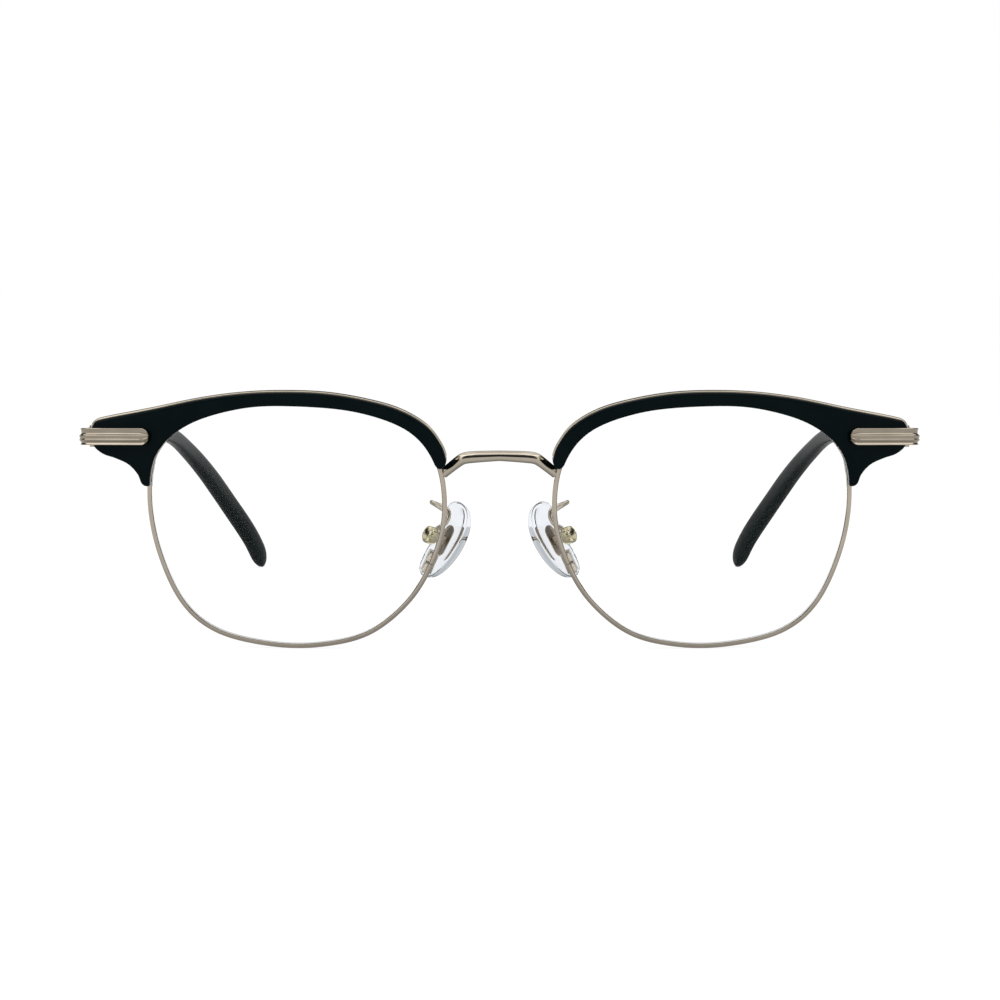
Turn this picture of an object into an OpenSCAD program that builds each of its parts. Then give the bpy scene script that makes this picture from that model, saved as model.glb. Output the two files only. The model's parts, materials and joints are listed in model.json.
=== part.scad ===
// Browline glasses: black brows over metal rims, with fluted end pieces,
// screw-hinged temples and clear nose pads that rock on their arms

/* [Lenses and rims] */
// Width of one lens
lens_w = 50; // [42:1:60]
// Height of one lens
lens_h = 42; // [36:1:51]
// Thickness of a lens
lens_t = 1.5; // [1.2:0.1:2.4]
// Gap between the lenses at the nose
bridge_gap = 18.4; // [15:0.2:22]
// Width of the rim wire, seen from the front
rim_w = 0.85; // [0.8:0.05:1.4]
// Depth of the rim wire, from front to back
rim_d = 1.6; // [1.4:0.1:2.6]
// Radius of the ball that the lenses and rims follow
base_r = 125; // [90:5:200]
// Angle that each half of the front turns round the face
wrap = 4; // [0:0.5:7]
// Lean of the front against the temples, top forward
tilt = 7; // [4:0.5:10]

/* [Brows] */
// Thickness of a brow in front of the rim
brow_t = 2.6; // [1.8:0.1:3.4]
// Thickness of the metal trim along a brow's top edge
trim_t = 0.25; // [0.2:0.05:0.6]
// Width of the trim, from front to back
trim_w = 1.8; // [1.4:0.1:3.2]
// Radius of a brow screw's shank
brow_screw_r = 0.35; // [0.3:0.05:0.45]

/* [End pieces and hinges] */
// Reach from a lens's outer edge to the outside of the end piece
end_reach = 12.5; // [11:0.5:15]
// Height of the fluted end piece
end_h = 3; // [2.6:0.1:3.6]
// Thickness of the fluted end piece
end_t = 1; // [0.8:0.1:1.2]
// Depth of the hinge axis behind the brow's outer end
hinge_back = 4.8; // [4:0.1:6.5]
// Height of the hinges above the middle of a lens 42 mm high
hinge_up = 14.7; // [13:0.1:16]
// Outer radius of a hinge knuckle
knuckle_r = 1.35; // [1.2:0.05:1.5]
// Radius of a hinge screw's shank
hinge_screw_r = 0.55; // [0.4:0.05:0.7]

/* [Temples] */
// Length of a temple, from the hinge to the end of the tip
temple_len = 140; // [125:1:168]
// Thickness of the metal temple arm
arm_t = 1.3; // [1.1:0.1:1.6]
// Distance from the hinge to where the acetate tip begins
tip_start = 50; // [40:1:60]
// Height of the acetate tip
tip_h = 4.4; // [3.8:0.1:5.4]
// Thickness of the acetate tip
tip_t = 2.7; // [2.2:0.1:3.2]

/* [Nose pads] */
// Length of a nose pad
pad_len = 14.3; // [12:0.1:17]
// Width of a nose pad
pad_w = 8.2; // [6.5:0.1:9]
// Thickness of a nose pad
pad_t = 2.2; // [1.8:0.1:2.6]
// Radius of the pad arm's wire
wire_r = 0.4; // [0.3:0.05:0.5]
// Turn of a pad towards the face, seen from above
pad_splay = 30; // [20:1:40]
// Slant of a pad from the vertical, seen from the front
pad_slant = 27; // [20:1:34]

/* [Hidden] */

// Colours
acetate_black = "#12181a";
champagne = "#b9ad98";
pale_gold = "#cdbf9b";
steel = "#a8a49c";
clear_lens = [0.85, 0.93, 0.96, 0.35];
clear_pad = [0.86, 0.92, 0.96, 0.55];

// Clearances
fit = 0.05;
run = 0.03;
face_gap = 0.15;

// Fineness of round things
steps = 5;
round_fn = 48;
ball_fn = 180;

// The lens outline goes round from the top by way of the nose.
// It is drawn at this width and height, and scaled to the lens.
drawn_w = 50;
drawn_h = 42;
lens_points = [
    [0.3, 20.5], [-10.5, 19.5], [-19.2, 16.2], [-23.7, 10.4], [-24.9, 2.5], [-23.4, -5],
    [-19.2, -12.8], [-12.2, -18.8], [-3.8, -21.05], [5, -21.05], [14.1, -18.9], [20, -13.9],
    [23.9, -5], [25.3, 4], [24.05, 11.75], [18.55, 17], [9.5, 19.95]
];
brow_top_points = [
    [-25.3, 10.95], [-24.45, 13.45], [-21.95, 16.75], [-17.65, 19.35], [-12.4, 20.95],
    [-5.8, 22.05], [0.9, 22.3], [8.5, 21.9], [16.2, 20.8], [24.8, 18.95], [32.4, 17.3],
    [34.3, 16.5], [34.95, 14.8]
];
brow_foot_points = [
    [34.95, 14.8], [34.4, 12.6], [32.8, 11.3], [30.9, 10.75], [28.6, 9.8], [27.1, 8.4],
    [26.55, 7], [25.9, 6.35], [25.3, 6.3]
];
brow_nose_points = [[-23.7, 9.7], [-24.3, 9.6], [-24.9, 10.1]];
drawn_reach = 12;

// Where a brow ends on the lens outline, counted in outline points
brow_nose_at = 3;
brow_horn_at = 13.4;
closing_at = 5.25;
tab_at = 2.3;

// Depths from the lens surface, positive towards the face
rim_back = rim_d / 2;
brow_front = -rim_d / 2 - fit - brow_t;
brow_back = rim_d / 2;
groove_w = 0.7;
groove_deep = 0.35;
bevel_t = 0.6;
lug_t = 0.9;
tab_t = 0.8;

// Brow screws, and the slack in their holes
screw_deep = 2.2;
head_h = 0.4;
head_r = 0.75;
hole_slack = 0.01;
seat_slack = 0.15;
tab_screw_out = 1.08;

// Closing block: two halves on either side of the slit in the rim
closing_w = 1.65;
closing_off = max(rim_d, lens_t) / 2 + fit;
closing_d = 2;
closing_len = 1.8;
closing_gap = 0.14;
closing_screw_r = 0.4;
closing_head_r = 0.7;
closing_head_h = 0.35;
slit_w = 0.12;

lens_x = bridge_gap / 2 + lens_w / 2;
end_x = lens_x + lens_w / 2 + end_reach;
hinge_z = hinge_up * lens_h / drawn_h;
hinge_y = hinge_back + face_point(lens_w / 2 + 10, hinge_z, brow_back)[1];

// How much deeper the nose side of the lenses lies than where the bridge and pads are drawn
drawn_nose_y = 0.76;
nose_back = face_y(-lens_w / 2, 0, 0) - drawn_nose_y;
end_mid_x = end_x - end_t / 2 - 0.1;
end_gap = 0.15;

// Hinge
leaf_t = 0.85;
temple_leaf_t = 0.7;
leaf_gap = 1.4;
axis_x = end_x - end_t - leaf_t - fit - knuckle_r + 0.2;
middle_h = 1.4;
barrel_h = 3.7;
knuckle_gap = 0.05;
leaf_h = 3;
front_leaf_len = 2.9;
temple_leaf_len = 5;
screw_head_r = 0.95;
screw_head_h = 0.5;

// Temple path, drawn for a temple of this length and a hinge in this place
drawn_len = 140;
drawn_end = [71.5, 12.3, 14.7];
temple_points = [
    [70.75, 12.45, 14.7], [70.75, 20, 14.7], [69.5, 45, 14.7], [67.4, 78, 14.6],
    [65.9, 95, 14], [63.9, 108, 10.8], [61.1, 118, 6.1], [57.7, 127, -0.2],
    [53.45, 135.5, -8.1], [51.15, 140.4, -14.35]
];
bend_from = 40;
temple_steps = 4;
core_r = 0.6;
core_short = 6;
arm_end_h = 2.3;
tip_begin_t = 2.2;
tip_begin_h = 3.1;
tip_grow_from = 30;
tip_grow_len = 32;
tip_round = 4.5;
tip_blunt = 0.12;

// Nose pad, in its own frame: X along the screw towards the front,
// Y along the pad upwards and Z from the screw towards the nose
pad_screw_at = [bridge_gap / 2 + 2.6, 5.15 + nose_back, -2.8];
pad_back = 2.85;
pad_mid_y = -0.2;
core_w = 2.8;
core_len = 5.8;
core_t = 0.4;
lug_half = 0.5;
lug_r = 0.8;
box_r = 1.5;
box_half_w = 1.25;
box_back = 1.4;
box_rise = 0.7;
box_play = 0.15;
box_dome_r = 3;
box_groove_at = 1.05;
box_groove_r = 0.12;
pad_screw_r = 0.4;
pad_head_r = 0.75;
pad_head_h = 0.3;

// The pad arm, from the rim by way of two bends to the box
arm_points = [
    [0.05, 2.15, 1.9], [1.3, 3, 2.6], [2.3, 4.3, 3], [2.1, 5.5, 2.7], [0.9, 6.2, 2.1],
    [-0.3, 6.1, 1.4], [-0.55, 5.8, 0.5], [-0.2, 5.5, -0.5], [0.8, 5.25, -1.1],
    [2.26, 4.8, -0.8]
];

// Curves and vectors

function unit(v) = v / norm(v);

// A point a part of the way from b to c, on a smooth curve through a, b, c and d
function smooth(a, b, c, d, t) =
    0.5 * (2 * b + (c - a) * t + (2 * a - 5 * b + 4 * c - d) * t * t
        + (3 * b - a - 3 * c + d) * t * t * t);

function closed_at(points, s) =
    let (n = len(points), i = floor(s), t = s - i)
    smooth(points[(i - 1 + n) % n], points[(i + n) % n], points[(i + 1) % n],
        points[(i + 2) % n], t);

function closed_curve(points, n) =
    [for (i = [0 : len(points) * n - 1]) closed_at(points, i / n)];

function open_at(points, s) =
    let (last = len(points) - 1, i = min(floor(s), last - 1), t = s - i)
    smooth(points[max(i - 1, 0)], points[i], points[i + 1], points[min(i + 2, last)], t);

function open_curve(points, n) =
    [for (i = [0 : (len(points) - 1) * n]) open_at(points, i / n)];

function turned_right(v) = [v[1], -v[0]];

// A closed outline moved outwards by d, for an outline that goes round to the left
function grown(points, d) =
    let (n = len(points))
    [for (i = [0 : n - 1])
        points[i] + d * unit(turned_right(points[(i + 1) % n] - points[(i - 1 + n) % n]))];

// An open line moved sideways by d, to the left of its direction
function beside(points, d) =
    let (last = len(points) - 1)
    [for (i = [0 : last])
        points[i] - d * unit(turned_right(points[min(i + 1, last)] - points[max(i - 1, 0)]))];

function oblong(half_w, half_h, square, n = 12) =
    [for (k = [0 : n - 1])
        let (c = cos(360 * k / n), s = sin(360 * k / n))
        [half_w * sign(c) * pow(abs(c), square), half_h * sign(s) * pow(abs(s), square)]];

// A section drawn square to a path, with its second axis as upright as can be
function ring(middle, along, upright, section) =
    let (t = unit(along), u = unit(upright - (upright * t) * t), o = cross(t, u))
    [for (s = section) middle + s[0] * o + s[1] * u];

function backwards(list) = [for (i = [len(list) - 1 : -1 : 0]) list[i]];

function heading(path, i) = path[min(i + 1, len(path) - 1)] - path[max(i - 1, 0)];

// A closed solid through rings of as many points each
module skin(rings) {
    n = len(rings);
    m = len(rings[0]);
    sides = [for (i = [0 : n - 2], j = [0 : m - 1])
        let (a = i * m + j, b = i * m + (j + 1) % m, c = a + m, d = b + m)
        each [[a, d, b], [a, c, d]]];
    near = [for (j = [1 : m - 2]) [0, j, j + 1]];
    far = [for (j = [1 : m - 2]) let (z = (n - 1) * m) [z, z + j + 1, z + j]];
    polyhedron(points = [for (r = rings) each r], faces = concat(sides, near, far));
}

// Outlines of the front, about the middle of the left lens

lens_scale = [lens_w / drawn_w, lens_h / drawn_h];

function on_lens(p) = [p[0] * lens_scale[0], p[1] * lens_scale[1]];

function on_brow(p) = [
    p[0] < drawn_w / 2 ? p[0] * lens_scale[0]
        : lens_w / 2 + (p[0] - drawn_w / 2) * end_reach / drawn_reach,
    p[1] * lens_scale[1]
];

lens_corners = [for (p = lens_points) on_lens(p)];
lens_line = closed_curve(lens_corners, steps);
brow_top = open_curve([for (p = brow_top_points) on_brow(p)], steps);
brow_foot = open_curve([for (p = brow_foot_points) on_brow(p)], 3);

function lens_point(s) = closed_at(lens_corners, s);
function lens_along(s) = unit(closed_at(lens_corners, s + 0.1) - closed_at(lens_corners, s - 0.1));
function lens_out(s) = turned_right(lens_along(s));

// How far the brow's inner edge comes in over the rim: most along the top
lip_at_horn = 0.1;
lip_at_top = 0.3;
lip_grows_over = 1.6;

brow_inner = [
    for (i = [0 : (len(lens_points) - brow_horn_at + brow_nose_at) * steps])
        let (s = (brow_horn_at + i / steps) % len(lens_points))
        lens_point(s) - mixed(lip_at_horn, lip_at_top, i / steps / lip_grows_over) * lens_out(s)
];

brow_outline = concat(
    brow_inner,
    [for (p = brow_nose_points) on_brow(p)],
    brow_top,
    [for (i = [1 : len(brow_foot) - 1]) brow_foot[i]]
);

// The trim leaves out the first bit at the nose and the drop at the outer end
trim_from = 2;
trim_to = len(brow_top) - 4;
trim_line = [for (i = [trim_from : trim_to]) brow_top[i]];
trim_gap = 0.02;
trim_set_back = 0.7;

// Depth of the curved face at a place about the lens's middle
function face_y(u, v, off) =
    base_r * cos(wrap)
    - sqrt(pow(base_r - off, 2) - pow(u + base_r * sin(wrap), 2) - v * v);

// A place on the leaning front, seen in the frame of the temples
function leaned(p) = [
    p[0], p[1] * cos(tilt) - p[2] * sin(tilt), p[1] * sin(tilt) + p[2] * cos(tilt)
];

function face_point(u, v, off) = leaned([lens_x + u, face_y(u, v, off), v]);

ball_middle = [lens_x - base_r * sin(wrap), base_r * cos(wrap), 0];

// Temple: a metal arm whose core wire runs on inside the acetate tip

temple_shift = [end_x - 0.2 - drawn_end[0], hinge_y - drawn_end[1], hinge_z - drawn_end[2]];
temple_line = [for (p = temple_points)
    p + temple_shift + [0, p[1] > bend_from ? temple_len - drawn_len : 0, 0]];
temple_path = open_curve(temple_line, temple_steps);

// Distance along the temple at each point of its path
temple_run = [for (i = 0, d = 0; i < len(temple_path);
    i = i + 1, d = i < len(temple_path) ? d + norm(temple_path[i] - temple_path[i - 1]) : d) d];
temple_total = temple_run[len(temple_run) - 1];

function mixed(a, b, t) = a + (b - a) * min(1, max(0, t));

// The path cut down to a stretch of itself, with its end points put in
function stretch(from, to) = concat(
    [at_run(from)],
    [for (i = [0 : len(temple_path) - 1])
        if (temple_run[i] > from + 0.6 && temple_run[i] < to - 0.6)
            [temple_path[i], heading(temple_path, i), temple_run[i]]],
    [at_run(to)]
);

function at_run(d) =
    let (i = max([for (k = [0 : len(temple_run) - 2]) if (temple_run[k] <= d) k]),
        t = (d - temple_run[i]) / (temple_run[i + 1] - temple_run[i]))
    [temple_path[i] + (temple_path[i + 1] - temple_path[i]) * t,
        heading(temple_path, i) * (1 - t) + heading(temple_path, i + 1) * t, d];

function arm_section(d, extra) =
    d < tip_start + 4
        ? let (t = (d - 10) / (tip_start - 10))
            oblong(arm_t / 2 + extra, mixed(end_h / 2, arm_end_h / 2, t) + extra, 0.55)
        : oblong(core_r + extra, core_r + extra, 1);

arm_far = temple_total - core_short;

arm_rings = [for (s = concat(stretch(0, tip_start + 3.9), stretch(tip_start + 5.5, arm_far)))
    ring(s[0], s[1], [0, 0, 1], arm_section(s[2], 0))];

socket_rings = [for (s = concat(stretch(tip_start, tip_start + 3.9),
        stretch(tip_start + 5.5, arm_far + fit)))
    ring(s[0], s[1], [0, 0, 1], arm_section(s[2], fit))];

function tip_share(d) =
    let (left = temple_total - d)
    left >= tip_round ? 1
        : sqrt(1 - pow(1 - (left + tip_blunt) / (tip_round + tip_blunt), 2));

function tip_section(d) =
    let (grow = mixed(0, 1, (d - tip_start - tip_grow_from) / tip_grow_len))
    oblong((tip_begin_t + (tip_t - tip_begin_t) * grow) / 2 * tip_share(d),
        (tip_begin_h + (tip_h - tip_begin_h) * grow) / 2 * tip_share(d), 0.75);

tip_stops = concat(stretch(tip_start, temple_total - tip_round),
    [for (left = [3.2, 2, 1, 0.4, 0.001]) at_run(temple_total - left)]);
tip_rings = [for (s = tip_stops) ring(s[0], s[1], [0, 0, 1], tip_section(s[2]))];

// How the glasses stand: on the bottoms of the rims and the ends of the tips

rim_feet = [for (p = grown(lens_line, rim_w / 2)) face_point(p[0], p[1], -rim_back)];

function lowest(points) =
    let (z = min([for (p = points) p[2]])) [for (p = points) if (p[2] == z) p][0];

function pitched(p) = [
    p[0], p[1] * cos(stand_pitch) + p[2] * sin(stand_pitch),
    -p[1] * sin(stand_pitch) + p[2] * cos(stand_pitch)
];

rim_foot = lowest(rim_feet);
tip_foot = lowest(concat(tip_rings[len(tip_rings) - 1], tip_rings[len(tip_rings) - 2],
    tip_rings[len(tip_rings) - 3], tip_rings[len(tip_rings) - 4]));
stand_pitch = atan2(tip_foot[2] - rim_foot[2], tip_foot[1] - rim_foot[1]);
floor_z = min([for (p = rim_feet) pitched(p)[2]]);
front_y = min([for (p = brow_top) pitched(face_point(p[0], p[1], brow_front))[1]]);
back_y = max([for (r = tip_rings, p = r) pitched(p)[1]]);

module standing() {
    translate([0, -(front_y + back_y) / 2, -floor_z]) rotate([-stand_pitch, 0, 0]) children();
}

module left() {
    standing() children();
}

module right() {
    standing() mirror([1, 0, 0]) children();
}

module front() {
    rotate([tilt, 0, 0]) children();
}

// An outline about the lens's middle, cut right through the front
module through(outline) {
    translate([lens_x, 0, 0]) rotate([90, 0, 0])
        linear_extrude(height = 60, center = true) polygon(outline);
}

// The layer of the curved front between two depths
module layer(near, far) {
    translate(ball_middle) difference() {
        sphere(r = base_r - near, $fn = ball_fn);
        sphere(r = base_r - far, $fn = ball_fn);
    }
}

// A frame square to the curved front at a place on it, with Z towards the face
module square_to_front(at, off = 0) {
    p = [lens_x + at[0], face_y(at[0], at[1], 0), at[1]];
    d = unit(ball_middle - p);
    translate(p + off * d) rotate([0, acos(d[2]), atan2(d[1], d[0])]) children();
}

// The same frame at a place on the lens outline, with X outwards and Y up along the rim
module at_outline(s, off) {
    out = lens_out(s);
    square_to_front(lens_point(s), off) rotate([0, 0, atan2(-out[0], -out[1])]) children();
}

// Rim, lens and closing block

module rim() {
    color(champagne) front() difference() {
        intersection() {
            difference() {
                through(grown(lens_line, rim_w / 2));
                through(grown(lens_line, -rim_w / 2));
            }
            layer(-rim_d / 2, rim_d / 2);
        }
        intersection() {
            through(grown(lens_line, groove_deep - rim_w / 2));
            layer(-groove_w / 2, groove_w / 2);
        }
        at_outline(closing_at, 0) cube([3 * rim_w, slit_w, 2 * rim_d], center = true);
    }
}

module lens() {
    color(clear_lens) front() {
        intersection() {
            through(grown(lens_line, -rim_w / 2 - fit));
            layer(-lens_t / 2, lens_t / 2);
        }
        intersection() {
            through(grown(lens_line, groove_deep - rim_w / 2 - fit));
            layer(-bevel_t / 2, bevel_t / 2);
        }
    }
}

module closing_block() {
    color(champagne) front() at_outline(closing_at, closing_off) for (end = [-1, 1])
        translate([0, end * (closing_len + closing_gap) / 2, closing_d / 2]) difference() {
            cube([closing_w, closing_len, closing_d], center = true);
            rotate([90, 0, 0]) cylinder(r = closing_screw_r + hole_slack, h = 2 * closing_len,
                center = true, $fn = round_fn);
        }
}

module closing_screw() {
    length = 2 * closing_len + closing_gap;
    color(steel) front() at_outline(closing_at, closing_off)
        translate([0, 0, closing_d / 2]) rotate([90, 0, 0]) {
            cylinder(r = closing_screw_r, h = length, center = true, $fn = round_fn);
            translate([0, 0, length / 2])
                cylinder(r = closing_head_r, h = closing_head_h, $fn = round_fn);
        }
}

// Brow, its trim and what holds it

// The two brow screws: one through the tab near the nose, one through the rim lug
tab_screw = lens_point(tab_at) + tab_screw_out * lens_out(tab_at);
lug_screw = on_brow([29.3, 14.2]);
screw_start = -rim_d / 2 - screw_deep;

// A frame at a brow screw: level in the front, with Z towards the face
module at_screw(at, off) {
    p = [lens_x + at[0], face_y(at[0], at[1], 0), at[1]];
    d = ball_middle - p;
    translate(p) rotate([0, 0, atan2(d[1], d[0]) - 90]) translate([0, off, 0])
        rotate([-90, 0, 0]) children();
}

module screw_hole(at) {
    at_screw(at, screw_start - seat_slack)
        cylinder(r = brow_screw_r + hole_slack, h = screw_deep + 2 * rim_d + 2 * lug_t,
            $fn = round_fn);
}

module brow() {
    color(acetate_black) front() difference() {
        intersection() {
            through(brow_outline);
            layer(brow_front, brow_back);
        }
        intersection() {
            through(grown(lens_line, rim_w / 2 + fit));
            layer(-rim_d / 2 - fit, rim_d);
        }
        screw_hole(tab_screw);
        screw_hole(lug_screw);
    }
}

module brow_trim() {
    outline = concat(beside(trim_line, trim_gap),
        backwards(beside(trim_line, trim_gap + trim_t)));
    color(pale_gold) front() intersection() {
        through(outline);
        layer(brow_front + trim_set_back, brow_front + trim_set_back + trim_w);
    }
}

module brow_tab() {
    out = lens_out(tab_at);
    along = lens_along(tab_at);
    base = lens_point(tab_at);
    outline = [
        base - 1.6 * along - 0.3 * out, base + 1.6 * along - 0.3 * out,
        base + 1.6 * along + 1.3 * out, base + 0.8 * along + 1.95 * out,
        base - 0.8 * along + 1.95 * out, base - 1.6 * along + 1.3 * out
    ];
    color(champagne) front() difference() {
        intersection() {
            through(outline);
            layer(brow_back + fit, brow_back + fit + tab_t);
        }
        screw_hole(tab_screw);
    }
}

lug_outline = [
    [24.5, 12.4], [25.4, 10.4], [28, 12], [31.5, 13], [34.9, 13.2], [34.9, 15.6], [31.5, 16.1],
    [28, 15.9], [25, 14.6]
];

module rim_lug() {
    color(champagne) front() difference() {
        intersection() {
            through([for (p = lug_outline) on_brow(p)]);
            layer(brow_back + fit, brow_back + fit + lug_t);
        }
        screw_hole(lug_screw);
    }
}

// A brow screw's head bears on the back of its plate
module brow_screw(at, plate) {
    seat = rim_d / 2 + fit + plate + seat_slack;
    at_screw(at, screw_start)
        cylinder(r = brow_screw_r, h = seat - screw_start, $fn = round_fn);
    at_screw(at, seat) cylinder(r = head_r, h = head_h, $fn = round_fn);
}

module brow_screws() {
    color(steel) front() {
        brow_screw(tab_screw, tab_t);
        brow_screw(lug_screw, lug_t);
    }
}

// Bridge

bridge_points = [
    [-0.12, 1.03, 8.81], [-1.2, 0.75, 9.75], [-2.35, 0.42, 10.72], [-3.1, 0.2, 11.2],
    [-4.2, -0.1, 11.45], [-6, -0.55, 11.6], [-9.2, -0.9, 11.7]
];
drawn_gap = 18.4;
// The bridge meets the rim at this place on the lens outline, where it curves away from the nose
bridge_at = 3.23;
bridge_h = 1.7;
bridge_t = 1.5;

function bridge_section(h, t) = [
    [-t / 2, 0], [-t / 2, -h / 2 + 0.2], [-t / 2 + 0.2, -h / 2], [t / 2 - 0.35, -h / 2],
    [t / 2, -h / 2 + 0.25], [t / 2, 0.05], [t / 2 - 0.15, 0.15], [t / 2 - 0.45, 0.2],
    [t / 2 - 0.45, 0.35], [t / 2 - 0.15, 0.4], [t / 2 - 0.1, h / 2 - 0.15],
    [t / 2 - 0.35, h / 2], [-t / 2 + 0.2, h / 2], [-t / 2, h / 2 - 0.2]
];

module bridge() {
    rim_shift = (closed_at(lens_points, bridge_at)[0] + drawn_w / 2) * (lens_scale[0] - 1);
    half = [for (i = [0 : len(bridge_points) - 1])
        let (p = bridge_points[i])
        [
            p[0] * bridge_gap / drawn_gap + bridge_gap / 2 + (i == 0 ? rim_shift : 0),
            p[1] + nose_back,
            p[2] * lens_scale[1]
        ]
    ];
    run_in = open_curve(half, 3);
    n = len(run_in);
    path = concat(run_in, [for (i = [n - 2 : -1 : 0]) [-run_in[i][0], run_in[i][1], run_in[i][2]]]);
    color(champagne) standing() front()
        skin([for (i = [0 : len(path) - 1])
            ring(path[i], -heading(path, i), [0, 0, 1], bridge_section(bridge_h, bridge_t))]);
}

// End piece: a fluted plate that wraps round from the brow's face to the hinge

plate_start = lens_x + lens_w / 2 + 0.3;

function plate_point(x) =
    let (u = x - lens_x, v = (hinge_z - face_y(u, hinge_z, 0) * sin(tilt)) / cos(tilt))
    let (p = face_point(u, v, brow_front - end_gap - end_t / 2)) [p[0], p[1], hinge_z];

corner_r = 2.2;
plate_points = [
    plate_point(plate_start),
    plate_point((plate_start + end_mid_x - corner_r) / 2),
    plate_point(end_mid_x - corner_r - 0.8),
    plate_point(end_mid_x - corner_r) + [0, 0.1, 0],
    plate_point(end_mid_x - corner_r) + [0.72 * corner_r, 0.4 * corner_r, 0],
    plate_point(end_mid_x - corner_r) + [corner_r, 1.1 * corner_r, 0],
    [end_mid_x, hinge_y - 3.2, hinge_z],
    [end_mid_x, hinge_y - face_gap, hinge_z]
];

// Half the fluted section, from its middle to its edge: out from the plate, and up
flute_points = [[0.18, 0], [0.24, 0.2], [0.52, 0.29], [0.52, 0.36], [0.2, 0.46], [0.15, 0.58],
    [0.2, 0.71], [0.48, 0.82], [0.48, 0.93], [0.3, 1]];

function fluted(t, h) =
    let (back = -t / 2, half = h / 2, n = len(flute_points))
    concat(
        [[back, 0], [back, -half * 0.97]],
        [for (i = [n - 1 : -1 : 1]) [flute_points[i][0] * t, -flute_points[i][1] * half]],
        [for (i = [0 : n - 1]) [flute_points[i][0] * t, flute_points[i][1] * half]],
        [[back, half * 0.97]]
    );

// The rounded inner end: how much of the height shows at a distance from the end
function end_share(d) = d >= end_h / 2 ? 1 : sqrt(1 - pow(1 - (d + 0.04) / (end_h / 2 + 0.04), 2));

module end_piece() {
    first = plate_points[0];
    second = plate_points[1];
    nose_end = [for (d = [0, 0.25, 0.6, 1.05]) first + unit(second - first) * d];
    rest = open_curve(concat([first + unit(second - first) * end_h / 2],
        [for (i = [1 : len(plate_points) - 1]) plate_points[i]]), 3);
    path = concat(nose_end, rest);
    lean = tilt - asin(hinge_z / base_r);
    lean_up = [0, -sin(lean), cos(lean)];
    color(pale_gold)
        skin([for (i = [0 : len(path) - 1])
            let (d = norm(path[i] - first), side = min(1, max(0, (path[i][1] - 3) / 4)))
            ring(path[i], heading(path, i), lean_up * (1 - side) + [0, 0, 1] * side,
                fluted(end_t, end_h * end_share(d)))]);
}

// Hinge

knuckle_h = (barrel_h - middle_h) / 2 - knuckle_gap;

module at_axis(z = 0) {
    translate([axis_x, hinge_y, hinge_z + z]) children();
}

module knuckle(z, h) {
    at_axis(z) cylinder(r = knuckle_r, h = h, center = true, $fn = round_fn);
}

module hinge_bore() {
    at_axis() cylinder(r = hinge_screw_r + run, h = 3 * barrel_h, center = true, $fn = round_fn);
}

outer_z = (middle_h + knuckle_h) / 2 + knuckle_gap;
leaf_x = end_x - 0.1 - end_t - fit - leaf_t;
temple_leaf_x = temple_line[0][0] - arm_t / 2 - fit - temple_leaf_t;

module hinge_front() {
    color(champagne) difference() {
        union() {
            knuckle(outer_z, knuckle_h);
            knuckle(-outer_z, knuckle_h);
            translate([leaf_x, hinge_y - leaf_gap - front_leaf_len, hinge_z - leaf_h / 2])
                cube([leaf_t, front_leaf_len, leaf_h]);
            for (z = [outer_z, -outer_z])
                translate([axis_x, hinge_y - 2.6, hinge_z + z - knuckle_h / 2])
                    cube([leaf_x + leaf_t - axis_x, 2.5, knuckle_h]);
        }
        hinge_bore();
        at_axis(outer_z + knuckle_h / 2 - screw_head_h / 2)
            cylinder(r = screw_head_r + 0.02, h = screw_head_h + 0.01, center = true,
                $fn = round_fn);
    }
}

module hinge_temple() {
    color(champagne) difference() {
        union() {
            knuckle(0, middle_h - knuckle_gap);
            translate([axis_x, hinge_y + face_gap, hinge_z - middle_h / 2 + knuckle_gap / 2])
                cube([temple_leaf_x + temple_leaf_t - axis_x, 2, middle_h - knuckle_gap]);
            translate([temple_leaf_x, hinge_y + 1.6, hinge_z - leaf_h / 2 + 0.1])
                cube([temple_leaf_t, temple_leaf_len, leaf_h - 0.2]);
        }
        hinge_bore();
    }
}

module hinge_screw() {
    color(steel) {
        at_axis() cylinder(r = hinge_screw_r, h = barrel_h - 0.1, center = true, $fn = round_fn);
        difference() {
            at_axis(outer_z + knuckle_h / 2 - screw_head_h / 2 + 0.01)
                cylinder(r = screw_head_r, h = screw_head_h, center = true, $fn = round_fn);
            at_axis(outer_z + knuckle_h / 2)
                cube([0.25, 2 * screw_head_r, 0.4], center = true);
        }
    }
}

// Temple

module temple_arm() {
    color(champagne) skin(arm_rings);
}

// The tip's skin starts at the bottom of its socket, comes out and runs back over the tip
module temple_tip() {
    color(acetate_black) skin(concat(backwards(socket_rings), tip_rings));
}

// Nose pad

module at_pad() {
    front() translate(pad_screw_at) rotate([0, -pad_slant, 0]) rotate([0, 0, -pad_splay])
        rotate([90, 0, -90]) children();
}

pad_points = [
    [-0.5, 0.36], [-0.46, 0.05], [-0.48, -0.25], [-0.4, -0.45], [-0.12, -0.5], [0.2, -0.4],
    [0.42, -0.15], [0.5, 0.12], [0.44, 0.34], [0.22, 0.47], [-0.1, 0.5], [-0.36, 0.47]
];

module pad_outline(inset) {
    polygon(grown(closed_curve([for (p = pad_points) [p[0] * pad_w, p[1] * pad_len]], 4), -inset));
}

module nose_pad() {
    crown_r = 26;
    color(clear_pad) at_pad() difference() {
        intersection() {
            translate([0, pad_mid_y, pad_back]) linear_extrude(height = pad_t)
                pad_outline(0);
            translate([0, pad_mid_y, pad_back + pad_t - crown_r]) sphere(r = crown_r, $fn = ball_fn);
        }
        translate([0, 0, pad_back + 0.3 - fit]) linear_extrude(height = core_t + 2 * fit)
            core_outline(fit);
        translate([0, 0, pad_back]) cube([2 * lug_half + 2 * fit, 2 * lug_r + 2 * fit, 1],
            center = true);
    }
}

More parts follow.
